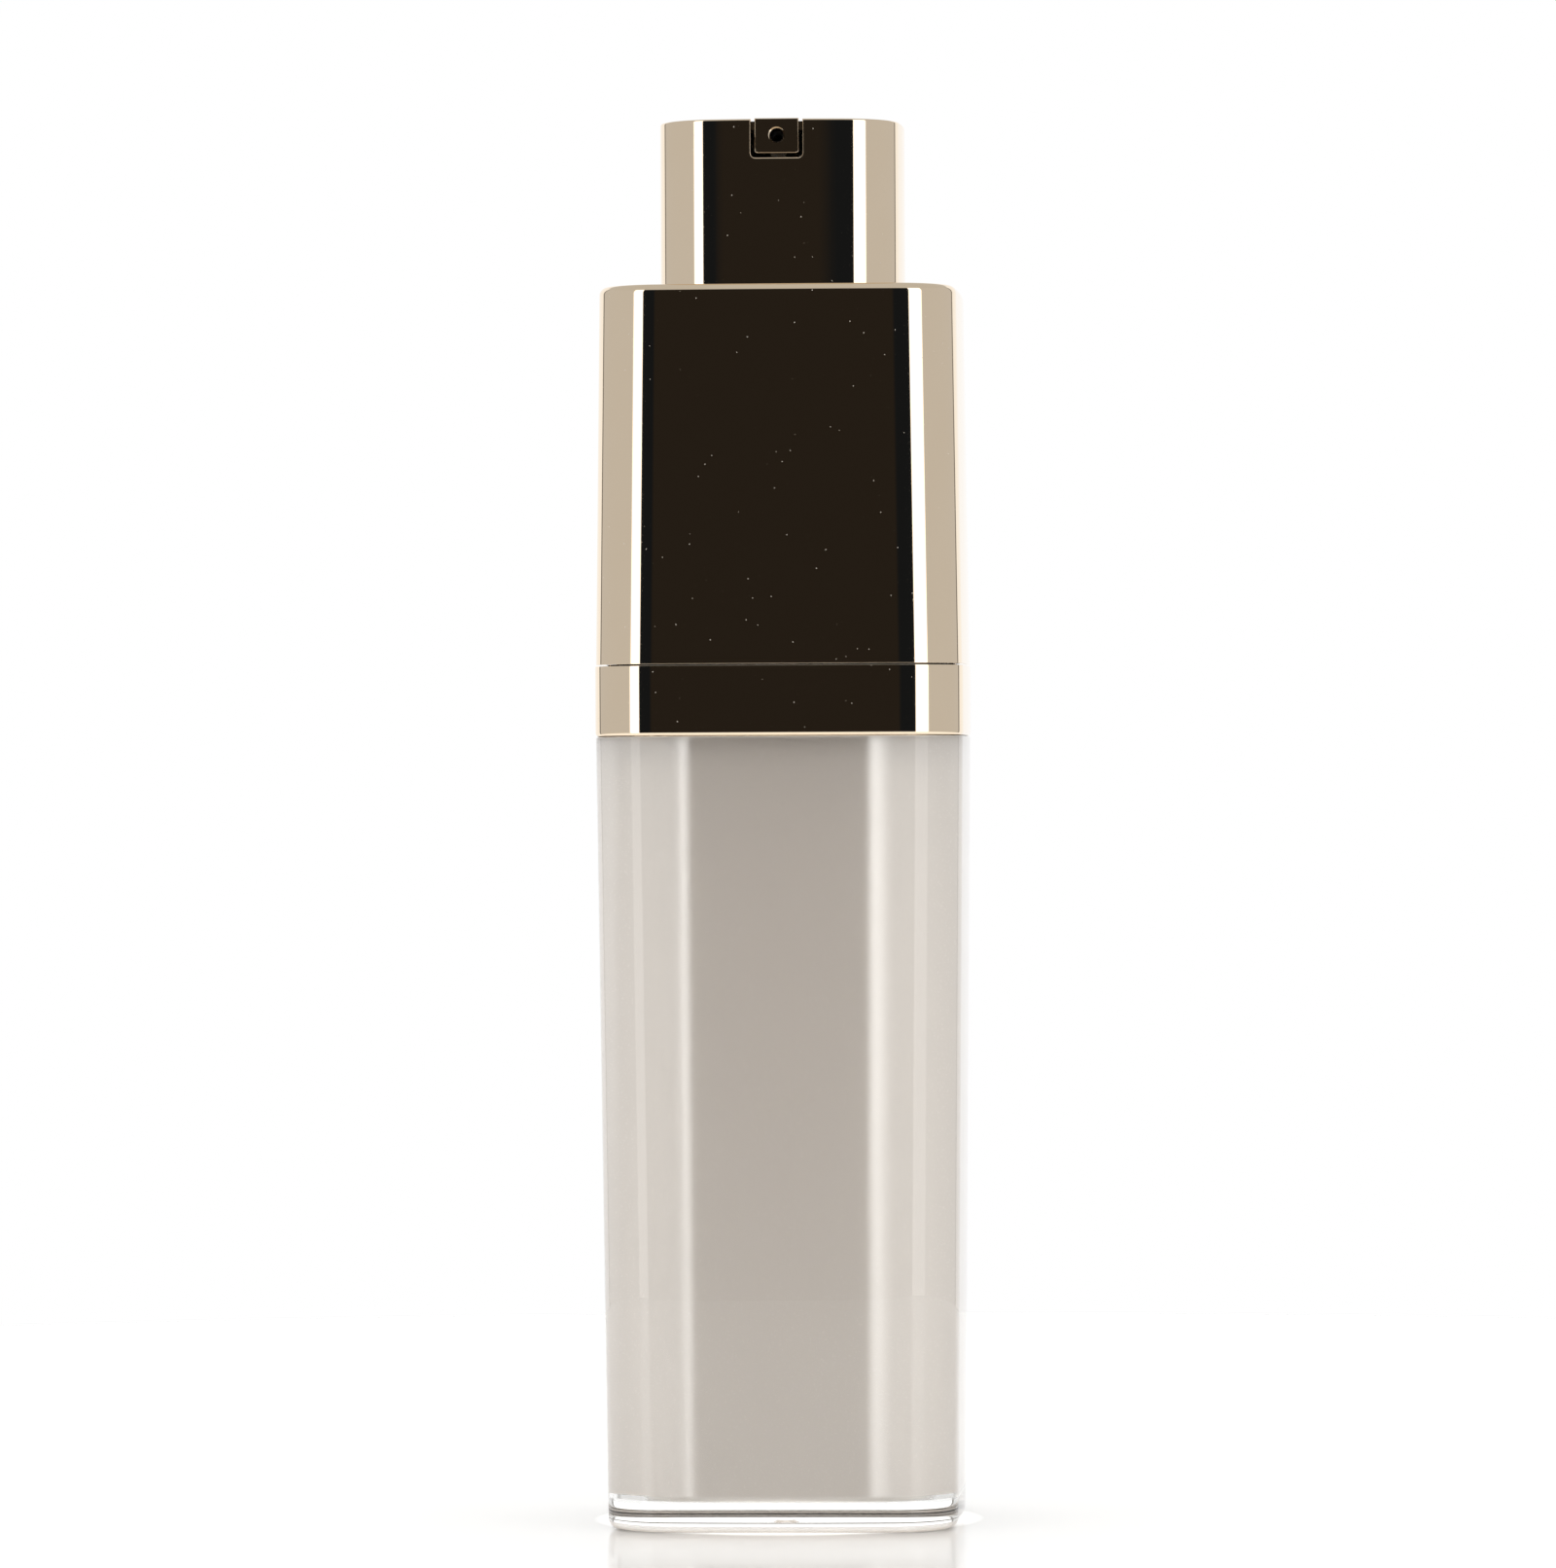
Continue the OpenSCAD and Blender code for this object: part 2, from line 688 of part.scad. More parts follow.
// Pump piston: wiping lips against the barrel, slides a little on the stem.
module pump_piston() {
    lip = 0.5;
    lip_r = barrel_r - slip;
    waist_r = lip_r - lip;
    stem_fit = stem_d / 2 + slip;
    top_z = piston_z + piston_h;
    color(rubber_grey)
        rotate_extrude()
            polygon([
                [stem_fit, piston_z], [lip_r, piston_z], [lip_r, piston_z + lip],
                [waist_r, piston_z + 2 * lip], [waist_r, top_z - 2 * lip],
                [lip_r, top_z - lip], [lip_r, top_z], [stem_fit, top_z]
            ]);
}

// Stem: hollow, closed by a foot under the piston, with two cross holes above the foot.
module pump_stem() {
    foot_z = piston_z - foot_t;
    foot_r = barrel_r - well_room;
    port_d = 1;
    color(white)
        difference() {
            union() {
                bore(foot_r, foot_z, piston_z - slip);
                bore(stem_d / 2, foot_z, socket_top);
            }
            bore(stem_bore / 2, piston_z, socket_top + eps);
            for (a = [0, 90])
                rotate([0, 0, a])
                    translate([-stem_d, 0, piston_z + port_d])
                        rotate([0, 90, 0])
                            cylinder(h = 2 * stem_d, d = port_d);
        }
}

// Return spring: one round wire, a flat curl at each end and open curls between.
stem_room = 0.5;        // room between the stem and the spring's curls
spring_r = stem_d / 2 + stem_room + wire_d;
curl_steps = 16;
end_curls = 0.75;
spring_span = spring_h - wire_d - 2 * slip;
curl_gap = 0.45;        // open room between the curls at each end
dead_rise = wire_d + curl_gap;
// Height of the wire's middle line after t curls.
spring_total = spring_curls + 2 * end_curls;
function spring_z(t) =
    t < end_curls ? dead_rise * t
    : t > end_curls + spring_curls ? spring_span - dead_rise * (spring_total - t)
    : let (u = (t - end_curls) / spring_curls, low = dead_rise * end_curls)
      low + u * (spring_span - 2 * low);
spring_n = ceil(spring_total * curl_steps);
wire_sides = 6;
function spring_center(i) =
    let (t = spring_total * i / spring_n)
    [spring_r * cos(360 * t), spring_r * sin(360 * t),
     retainer_top + slip + wire_d / 2 + spring_z(t)];
// Least distance between neighbouring curls, measured on the points of the middle line.
spring_gaps = [for (i = [0 : spring_n - curl_steps])
    norm(spring_center(i + curl_steps) - spring_center(i)) - wire_d];
echo(least_gap_between_curls = min(spring_gaps));

module return_spring() {
    rings = [for (i = [0 : spring_n])
        let (
            c = spring_center(i),
            a = 360 * spring_total * i / spring_n
        )
        [for (k = [0 : wire_sides - 1])
            let (b = 360 * k / wire_sides)
            c + wire_d / 2 * [cos(a) * cos(b), sin(a) * cos(b), sin(b)]]];
    color(steel)
        polyhedron(
            points = [for (ring = rings) each ring],
            faces = concat(
                [[for (k = [wire_sides - 1 : -1 : 0]) k]],
                [for (i = [0 : spring_n - 1]) for (k = [0 : wire_sides - 1])
                    let (j = (k + 1) % wire_sides, m = wire_sides)
                    [i * m + k, i * m + j, (i + 1) * m + j]],
                [for (i = [0 : spring_n - 1]) for (k = [0 : wire_sides - 1])
                    let (j = (k + 1) % wire_sides, m = wire_sides)
                    [i * m + k, (i + 1) * m + j, (i + 1) * m + k]],
                [[for (k = [0 : wire_sides - 1]) spring_n * wire_sides + k]]
            )
        );
}

// Button shell: thin metallised cap, hollow below, notched in its front upper edge.
module actuator_shell() {
    low_half = button_half - skirt_step;
    low_corner = button_corner_r - skirt_step;
    step_z = sleeve_top - step_drop;
    color(gold)
        difference() {
            loft(concat(
                [[skirt_z, low_half, low_corner], [step_z - skirt_step, low_half, low_corner],
                 [step_z, button_half, button_corner_r]],
                rounded_edge(button_top, button_half, button_corner_r, edge_break, 1, 2)
            ));
            loft([
                [skirt_z - eps, button_inner, button_corner_r - button_wall],
                [button_top - button_top_t, button_inner, button_corner_r - button_wall]
            ]);
            translate([0, -button_half - 1, button_top - notch_h])
                notch_cutter();
        }
}

// Notch with two rounded lower corners, open at the top and the front.
module notch_cutter() {
    round_r = 0.4;
    back = nozzle_l + 1 + slip;
    translate([-notch_w / 2, 0, round_r])
        cube([notch_w, back, notch_h]);
    translate([-notch_w / 2 + round_r, 0, 0])
        cube([notch_w - 2 * round_r, back, notch_h]);
    for (side = [-1, 1])
        translate([side * (notch_w / 2 - round_r), 0, round_r])
            rotate([-90, 0, 0])
                cylinder(h = back, r = round_r);
}

// Nozzle insert: block in the notch, its outlet bored through to the core's duct.
module nozzle_insert() {
    round_r = 0.3;
    countersink = 0.12;
    color(gold)
        translate([0, -nozzle_front, 0])
            difference() {
                union() {
                    translate([-nozzle_w / 2, 0, nozzle_z + round_r])
                        cube([nozzle_w, nozzle_l, nozzle_h - round_r]);
                    translate([-nozzle_w / 2 + round_r, 0, nozzle_z])
                        cube([nozzle_w - 2 * round_r, nozzle_l, nozzle_h]);
                    for (side = [-1, 1])
                        translate([side * (nozzle_w / 2 - round_r), 0, nozzle_z + round_r])
                            rotate([-90, 0, 0])
                                cylinder(h = nozzle_l, r = round_r);
                }
                translate([0, -eps, orifice_z])
                    rotate([-90, 0, 0]) {
                        cylinder(h = nozzle_l + 2 * eps, d = orifice_d);
                        cylinder(h = countersink, d1 = orifice_d + 2 * countersink, d2 = orifice_d);
                    }
            }
}

// Button core: boss with the stem's socket, four webs to the shell and the duct to the nozzle.
module actuator_core() {
    web_t = 1.4;
    web_half = button_inner - slip;
    block_w = 3;
    block_drop = 1.2;
    back_y = nozzle_front - nozzle_l - slip;
    web_z = core_top - web_h;
    color(white)
        difference() {
            union() {
                bore(boss_r, boss_z, core_top);
                intersection() {
                    union() {
                        translate([-button_half, -web_t / 2, web_z])
                            cube([button_w, web_t, web_h]);
                        translate([-web_t / 2, -back_y, web_z])
                            cube([web_t, back_y + button_half, web_h]);
                    }
                    loft([
                        [web_z - eps, web_half, button_corner_r - button_wall],
                        [core_top + eps, web_half, button_corner_r - button_wall]
                    ]);
                }
                translate([-block_w / 2, -back_y, duct_z - block_drop])
                    cube([block_w, back_y, core_top - duct_z + block_drop]);
            }
            bore(stem_d / 2, boss_z - eps, socket_top);
            bore(stem_bore / 2, socket_top - eps, duct_z);
            translate([0, 0, duct_z])
                rotate([90, 0, 0])
                    cylinder(h = back_y + eps, d = duct_d);
        }
}

outer_bottle();
inner_liner();
collar_ring();
cam_tube();
shoulder_sleeve();
guide_tube();
inner_bottle();
base_plug();
lift_collar();
pump_gasket();
pump_housing();
ball_cage();
stem_retainer();
follower_piston();
inlet_ball();
actuator_shell();
nozzle_insert();
actuator_core();
pump_stem();
pump_piston();
return_spring();
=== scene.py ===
import math

import bmesh
import bpy
from mathutils import Matrix, Vector


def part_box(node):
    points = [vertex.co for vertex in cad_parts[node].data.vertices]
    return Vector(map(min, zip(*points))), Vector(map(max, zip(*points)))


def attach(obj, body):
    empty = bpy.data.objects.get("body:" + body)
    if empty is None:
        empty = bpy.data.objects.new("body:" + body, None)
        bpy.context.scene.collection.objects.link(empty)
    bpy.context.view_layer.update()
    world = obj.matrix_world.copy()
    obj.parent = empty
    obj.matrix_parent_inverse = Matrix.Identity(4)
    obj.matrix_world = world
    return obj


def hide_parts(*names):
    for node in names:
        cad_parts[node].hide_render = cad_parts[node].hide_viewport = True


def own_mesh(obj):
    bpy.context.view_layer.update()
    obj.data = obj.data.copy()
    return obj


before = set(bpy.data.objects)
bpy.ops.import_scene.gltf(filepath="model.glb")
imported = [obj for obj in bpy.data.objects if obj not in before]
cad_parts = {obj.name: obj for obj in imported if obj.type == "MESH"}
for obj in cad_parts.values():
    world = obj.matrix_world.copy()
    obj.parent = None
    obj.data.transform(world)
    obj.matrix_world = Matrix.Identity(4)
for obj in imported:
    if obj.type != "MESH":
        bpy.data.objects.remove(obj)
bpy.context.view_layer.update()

# Lengths are in metres. The frame's boxes give the main ones, the rest are the mouldings' own.
MM = 0.001
QUARTER = math.pi / 2

# The square outline that the mouldings share: bulging sides between round corners
CORNER_R = 6.0 * MM
CROWN = 0.3 * MM
SIDE_STEPS = 12
CORNER_STEPS = 28
ROUND_STEPS = 4 * (2 * SIDE_STEPS + CORNER_STEPS)

# Meshing: steps in a rounded edge, a ring that holds it, and the edges that stay sharp
FILLET_STEPS = 7
BREAK_STEPS = 4
SEAM_STEPS = 3
SUPPORT = 0.06 * MM
LIFT = 1.0 * MM
OVERSHOOT = 1.0 * MM
WELD = 1e-7
SHARP_ANGLE = math.radians(28)
CREASE_ANGLE = math.radians(1.5)
CREASE_RATIO = 30

# Clear air that keeps two faces apart, and the overlap of two that touch optically
AIR = 0.05 * MM
CONTACT = 0.01 * MM


def half_width(node):
    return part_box(node)[1].x


def heights(node):
    low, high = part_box(node)
    return low.z, high.z


# Outlines, rings and shells


def arc(bm, start, center, axis, angle, steps):
    """Draws an arc of edges from a vertex, and returns the vertex at its end."""
    made = bmesh.ops.spin(bm, geom=[start], cent=center, axis=axis, angle=angle, steps=steps)
    return next(v for v in made["geom_last"] if isinstance(v, bmesh.types.BMVert))


def square_ring(bm, half, radius, z):
    """A closed ring of edges: a square with bulging sides and round corners."""
    lean = 2 * math.atan(CROWN / (half - radius))
    slant = math.sin(lean) - math.cos(lean)
    big = (half + radius * slant) / (1 + slant)
    side_center = half - big
    corner_center = (big - radius) * math.sin(lean)
    arcs = (
        (Vector((side_center, 0, z)), lean, SIDE_STEPS),
        (Vector((corner_center, corner_center, z)), QUARTER - 2 * lean, CORNER_STEPS),
        (Vector((0, side_center, z)), lean, SIDE_STEPS),
    )
    before = set(bm.edges)
    first = bm.verts.new((half, 0, z))
    last = first
    for side in range(4):
        turn = Matrix.Rotation(side * QUARTER, 3, "Z")
        for center, angle, steps in arcs:
            last = arc(bm, last, turn @ center, (0, 0, 1), angle, steps)
    bmesh.ops.weld_verts(bm, targetmap={last: first})
    return [e for e in bm.edges if e not in before]


def round_ring(bm, radius, z, steps=ROUND_STEPS):
    before = set(bm.edges)
    made = bmesh.ops.create_circle(bm, segments=steps, radius=radius)
    bmesh.ops.translate(bm, verts=made["verts"], vec=(0, 0, z))
    return [e for e in bm.edges if e not in before]


def edge_levels(z, half, radius, fillet, side, steps=FILLET_STEPS):
    """Levels of a quarter-round edge, going up. side is -1 for a lower edge, 1 for an upper."""
    levels = []
    for i in range(steps + 1):
        turn = QUARTER * (i if side < 0 else steps - i) / steps
        inset = fillet * (1 - math.sin(turn))
        levels.append((z - side * fillet * (1 - math.cos(turn)), half - inset, radius - inset))
    return levels


def bridge(bm, one, other):
    """Joins two rings. The second is lifted meanwhile, which keeps a flat step from twisting."""
    verts = list({v for e in other for v in e.verts})
    bmesh.ops.translate(bm, verts=verts, vec=(0, 0, LIFT))
    bmesh.ops.bridge_loops(bm, edges=one + other)
    bmesh.ops.translate(bm, verts=verts, vec=(0, 0, -LIFT))


def skin(bm, levels, join_ends=False):
    """Bridges one ring after another, and the last to the first where join_ends is set."""
    rings = [square_ring(bm, half, radius, z) for z, half, radius in levels]
    pairs = list(zip(rings, rings[1:]))
    if join_ends:
        pairs.append((rings[-1], rings[0]))
    for one, other in pairs:
        bridge(bm, one, other)
    return rings


def loft(bm, rings):
    """Joins a row of rings to one closed body."""
    for one, other in zip(rings, rings[1:]):
        bmesh.ops.bridge_loops(bm, edges=one + other)
    for end in (rings[0], rings[-1]):
        bmesh.ops.edgeloop_fill(bm, edges=end)


def mark_sharp(mesh):
    """Shades the mesh smooth, but for its real edges and where a sliver meets a large face."""
    bm = bmesh.new()
    bm.from_mesh(mesh)
    for face in bm.faces:
        face.smooth = True
    for edge in bm.edges:
        turn = edge.calc_face_angle(0)
        areas = sorted(face.calc_area() for face in edge.link_faces)
        uneven = areas[-1] > CREASE_RATIO * areas[0]
        edge.smooth = turn < CREASE_ANGLE or (turn < SHARP_ANGLE and not uneven)
    bm.to_mesh(mesh)
    bm.free()


def to_mesh(bm, name):
    mesh = bpy.data.meshes.new(name)
    bm.to_mesh(mesh)
    bm.free()
    return mesh


def place(name, data):
    thing = bpy.data.objects.new(name, data)
    bpy.context.scene.collection.objects.link(thing)
    return thing


def make_piece(name, bm, material):
    bmesh.ops.remove_doubles(bm, verts=bm.verts, dist=WELD)
    bmesh.ops.recalc_face_normals(bm, faces=bm.faces)
    mesh = to_mesh(bm, name)
    mark_sharp(mesh)
    mesh.materials.append(material)
    return place(name, mesh)


def cut(piece, cutter_bm):
    """Takes the cutter's shape out of a piece, and keeps the result as plain mesh."""
    bmesh.ops.recalc_face_normals(cutter_bm, faces=cutter_bm.faces)
    cutter = place("cutter", to_mesh(cutter_bm, "cutter"))
    modifier = piece.modifiers.new("cut", "BOOLEAN")
    modifier.operation = "DIFFERENCE"
    modifier.solver = "EXACT"
    modifier.object = cutter
    shown = piece.evaluated_get(bpy.context.evaluated_depsgraph_get())
    result = bpy.data.meshes.new_from_object(shown)
    piece.modifiers.clear()
    piece.data = result
    bpy.data.objects.remove(cutter)
    mark_sharp(piece.data)


# Nodes. An input takes another node's output or a plain value.


def feed(tree, socket, value):
    if isinstance(value, bpy.types.NodeSocket):
        tree.links.new(value, socket)
    elif socket.type == "RGBA":
        socket.default_value = (*value, 1)
    else:
        socket.default_value = value


def set_inputs(tree, node, values):
    for key, value in values.items():
        feed(tree, node.inputs[key], value)


def add(tree, kind, **values):
    """Adds a node. Each value goes to the input of that name, or else to the setting."""
    node = tree.nodes.new(kind)
    for key, value in values.items():
        if key in node.inputs:
            feed(tree, node.inputs[key], value)
        else:
            setattr(node, key, value)
    return node


def compute(tree, operation, *values, use_clamp=False):
    node = add(tree, "ShaderNodeMath", operation=operation, use_clamp=use_clamp)
    for socket, value in zip(node.inputs, values):
        feed(tree, socket, value)
    return node.outputs[0]


def mixed(tree, factor, low, high):
    node = add(tree, "ShaderNodeMix", data_type="RGBA", Factor=factor, A=low, B=high)
    return node.outputs["Result"]


# The part of a noise's range that its values mostly stay in
NOISE_SPAN = (0.3, 0.7)


def ranged(tree, source, target, span=NOISE_SPAN):
    """Maps the span of a source to the target's two ends, and holds it there beyond them."""
    node = add(tree, "ShaderNodeMapRange", Value=source)
    set_inputs(tree, node, {
        "From Min": span[0], "From Max": span[1], "To Min": target[0], "To Max": target[1]})
    return node.outputs["Result"]


def object_coordinates(tree):
    return add(tree, "ShaderNodeTexCoord").outputs["Object"]


def object_noise(tree, cells, detail=2.0, stretch=(1, 1, 1)):
    """Noise on the piece's own Object coordinates, in cells per metre."""
    mapping = add(
        tree, "ShaderNodeMapping", Vector=object_coordinates(tree), Scale=stretch)
    noise = add(
        tree, "ShaderNodeTexNoise", Vector=mapping.outputs["Vector"], Scale=cells, Detail=detail)
    return noise.outputs["Fac"]


def bump(tree, height, distance, strength):
    node = add(tree, "ShaderNodeBump", Strength=strength, Distance=distance, Height=height)
    return node.outputs["Normal"]


def node_material(name):
    material = bpy.data.materials.new(name)
    material.use_nodes = True
    tree = material.node_tree
    return material, tree, tree.nodes["Principled BSDF"]


# Materials: colours, noise cells per metre, and the range that each noise gives a value

FINE_DETAIL = 1.0

GOLD_TONES = (0.93, 0.775, 0.585), (0.95, 0.80, 0.615)
GOLD_TONE_CELLS = 180
DUST_COLOR = (0.62, 0.58, 0.52)
DUST_CELLS = 900
# Radius of a dust speck, from its full part to its rim, as a share of a cell
DUST_RADIUS = (0.03, 0.05)
GOLD_HAZE_CELLS = 5200
GOLD_HAZE_SPAN = (0.66, 0.78)
GOLD_ROUGHNESS = (0.035, 0.12)
RIPPLE_CELLS = 90
RIPPLE_STRETCH = (1, 1, 0.25)
RIPPLE_HEIGHT = 0.02 * MM
RIPPLE_STRENGTH = 0.25

ACRYLIC_TINT = (0.985, 0.99, 0.985)
ACRYLIC_IOR = 1.49
ACRYLIC_HAZE_CELLS = 900
ACRYLIC_ROUGHNESS = (0.0, 0.012)

PEARL_TONES = (0.97, 0.875, 0.785), (0.99, 0.895, 0.805)
PEARL_FLAKE_CELLS = 6000
PEARL_ROUGHNESS = (0.22, 0.28)
PEARL_SHEEN_IOR = 3.6
PEARL_SHEEN_ROUGHNESS = 0.27

PLASTIC_TONE_CELLS = 260
PLASTIC_GRAIN_CELLS = 3500
PLASTIC_GRAIN_HEIGHT = 0.03 * MM
PLASTIC_GRAIN_STRENGTH = 0.3
PLASTIC_ROUGHNESS_SPREAD = 0.12

STEEL_TONES = (0.58, 0.58, 0.59), (0.70, 0.70, 0.71)
STEEL_STREAK_CELLS = 2500
STEEL_ROUGHNESS = (0.18, 0.34)


def gold_metallising():
    """Vacuum-metallised pale gold on a moulded shell: a mirror with a flow ripple and dust."""
    material, tree, bsdf = node_material("gold_metallising")
    gold = mixed(tree, object_noise(tree, GOLD_TONE_CELLS), *GOLD_TONES)
    cells = add(
        tree, "ShaderNodeTexVoronoi", Vector=object_coordinates(tree), Scale=DUST_CELLS)
    clean = ranged(tree, cells.outputs["Distance"], (0, 1), DUST_RADIUS)
    haze = object_noise(tree, GOLD_HAZE_CELLS, FINE_DETAIL)
    ripple = object_noise(tree, RIPPLE_CELLS, FINE_DETAIL, RIPPLE_STRETCH)
    set_inputs(tree, bsdf, {
        "Base Color": mixed(tree, clean, DUST_COLOR, gold),
        "Metallic": clean,
        "Roughness": ranged(tree, haze, GOLD_ROUGHNESS, GOLD_HAZE_SPAN),
        "Normal": bump(tree, ripple, RIPPLE_HEIGHT, RIPPLE_STRENGTH)})
    return material


def clear_acrylic():
    material, tree, bsdf = node_material("clear_acrylic")
    haze = object_noise(tree, ACRYLIC_HAZE_CELLS)
    set_inputs(tree, bsdf, {
        "Base Color": ACRYLIC_TINT,
        "Transmission Weight": 1.0,
        "IOR": ACRYLIC_IOR,
        "Roughness": ranged(tree, haze, ACRYLIC_ROUGHNESS)})
    return material


def pearl_plastic():
    """Pearl-white moulding: a pale body with fine flake under a soft neutral sheen."""
    material, tree, bsdf = node_material("pearl_plastic")
    flake = object_noise(tree, PEARL_FLAKE_CELLS, FINE_DETAIL)
    set_inputs(tree, bsdf, {
        "Base Color": mixed(tree, flake, *PEARL_TONES),
        "Roughness": ranged(tree, flake, PEARL_ROUGHNESS),
        "Coat Weight": 1.0,
        "Coat IOR": PEARL_SHEEN_IOR,
        "Coat Roughness": PEARL_SHEEN_ROUGHNESS})
    return material


def moulded_plastic(name, low, high, roughness):
    material, tree, bsdf = node_material(name)
    tone = object_noise(tree, PLASTIC_TONE_CELLS)
    grain = object_noise(tree, PLASTIC_GRAIN_CELLS)
    set_inputs(tree, bsdf, {
        "Base Color": mixed(tree, tone, low, high),
        "Roughness": ranged(tree, grain, (roughness, roughness + PLASTIC_ROUGHNESS_SPREAD)),
        "Normal": bump(tree, grain, PLASTIC_GRAIN_HEIGHT, PLASTIC_GRAIN_STRENGTH)})
    return material


def drawn_steel():
    material, tree, bsdf = node_material("drawn_steel")
    streak = object_noise(tree, STEEL_STREAK_CELLS)
    set_inputs(tree, bsdf, {
        "Base Color": mixed(tree, streak, *STEEL_TONES),
        "Metallic": 1.0,
        "Roughness": ranged(tree, streak, STEEL_ROUGHNESS)})
    return material


GOLD = gold_metallising()
ACRYLIC = clear_acrylic()
PEARL = pearl_plastic()
WHITE = moulded_plastic("white_plastic", (0.80, 0.79, 0.77), (0.86, 0.85, 0.83), 0.32)
SEAL = moulded_plastic("seal_plastic", (0.52, 0.52, 0.50), (0.60, 0.60, 0.58), 0.45)
# Painted shade: a near-black plastic on the orifice's bore stands in for the shade inside the
# hole
BORE_PAINTED_SHADE = moulded_plastic("shaded_bore", (0.012, 0.011, 0.010), (0.018, 0.016, 0.014), 0.5)
STEEL = drawn_steel()

# Outer bottle and liner

BOTTLE_H = 71.8 * MM
BOTTLE_WALL = 2.05 * MM
FLOOR_T = 2.7 * MM
FOOT_HALF = 16.2 * MM
FOOT_ROUND = 1.0 * MM
CAVITY_CORNER = 7.4 * MM
SHOULDER_BREAK = 0.04 * MM
GATE_R = 1.5 * MM
GATE_DEPTH = 0.35 * MM
NECK_WALL = 0.95 * MM
NECK_CORNER = CORNER_R - 1.6 * MM
NECK_GAP = 0.5 * MM
LINER_WALL = 0.8 * MM
LINER_FLOOR = 0.7 * MM
LINER_ROUND = FOOT_ROUND / 2
RING_WALL = 1.15 * MM

ring_half = half_width("collar_ring")
ring_inner = ring_half - RING_WALL
neck_half = ring_inner - NECK_GAP
cavity_top = neck_half - NECK_WALL
cavity_foot = FOOT_HALF - BOTTLE_WALL
bottle_top_half = half_width("outer_bottle")
neck_top = heights("outer_bottle")[1]


def outer_bottle():
    bm = bmesh.new()
    levels = edge_levels(0, FOOT_HALF, CORNER_R, FOOT_ROUND, -1)
    levels += [
        (FOOT_ROUND + SUPPORT, FOOT_HALF, CORNER_R),
        (BOTTLE_H - SUPPORT, bottle_top_half, CORNER_R),
        (BOTTLE_H, bottle_top_half - SHOULDER_BREAK, CORNER_R),
        (BOTTLE_H, neck_half, NECK_CORNER),
        (neck_top, neck_half, NECK_CORNER),
        (neck_top, cavity_top, CAVITY_CORNER),
        (BOTTLE_H, cavity_top, CAVITY_CORNER),
        (FLOOR_T, cavity_foot, CAVITY_CORNER),
    ]
    rings = skin(bm, levels)
    bmesh.ops.edgeloop_fill(bm, edges=rings[-1])
    rim = round_ring(bm, GATE_R, 0)
    pit = round_ring(bm, GATE_R / 2, GATE_DEPTH)
    bridge(bm, rings[0], rim)
    bridge(bm, rim, pit)
    bmesh.ops.edgeloop_fill(bm, edges=pit)
    return make_piece("bottle_shell", bm, ACRYLIC)


def inner_liner():
    """The liner fills the cavity and laps a little into the acrylic, with no air between."""
    bm = bmesh.new()
    corner = CAVITY_CORNER + CONTACT
    foot = cavity_foot + CONTACT
    head = cavity_top + CONTACT
    inner_corner = corner - LINER_WALL / 2
    levels = edge_levels(FLOOR_T - CONTACT, foot, corner, LINER_ROUND, -1)
    levels += [
        (FLOOR_T + LINER_ROUND + SUPPORT, foot, corner),
        (BOTTLE_H, head, corner),
        (neck_top, head, corner),
        (neck_top, head - LINER_WALL, inner_corner),
        (BOTTLE_H, head - LINER_WALL, inner_corner),
        (FLOOR_T + LINER_FLOOR, foot - LINER_WALL, inner_corner),
    ]
    rings = skin(bm, levels)
    for end in (rings[0], rings[-1]):
        bmesh.ops.edgeloop_fill(bm, edges=end)
    return make_piece("liner_shell", bm, PEARL)


# Metallised collar, sleeve and button

EDGE_BREAK = 0.15 * MM
SEAM_BREAK = 0.03 * MM

RING_ROUND = 0.4 * MM
RING_LIP = 1.0 * MM
LIP_HALF = 15.475 * MM

SLEEVE_WALL = 0.95 * MM
SLEEVE_PLATE = 1.2 * MM
SLEEVE_ROUND = 0.7 * MM
SLEEVE_TOP_HALF = 16.5 * MM
MOUTH_GAP = 0.2 * MM
MOUTH_GUIDE = 9.0 * MM
MOUTH_WALL = 0.8 * MM

BUTTON_CORNER_R = 5.8 * MM
BUTTON_WALL = 0.9 * MM
BUTTON_TOP = 0.8 * MM
SKIRT_STEP = 0.15 * MM
STEP_DROP = 0.6 * MM

NOTCH_W = 4.72 * MM
NOTCH_H = 3.5 * MM
NOTCH_ROUND = 0.4 * MM
NOTCH_BREAK = 0.12 * MM
NOTCH_STEPS = 6
FLARE_STEPS = 5
# How far the bulging front stands back beside the notch
FACE_SAG = 0.04 * MM

NOZZLE_L = 3.0 * MM
NOZZLE_ROUND = 0.25 * MM
NOZZLE_STEPS = 5
NOZZLE_BREAK = 0.08 * MM
NOZZLE_BREAK_STEPS = 3
ORIFICE_R = 0.62 * MM
ORIFICE_DROP = 1.525 * MM
ORIFICE_STEPS = 64
ORIFICE_SINK = 0.12 * MM

ring_low, ring_high = heights("collar_ring")
sleeve_low, sleeve_high = heights("shoulder_sleeve")
sleeve_foot_half = half_width("shoulder_sleeve")
button_half = half_width("actuator_shell")
skirt_low, button_high = heights("actuator_shell")


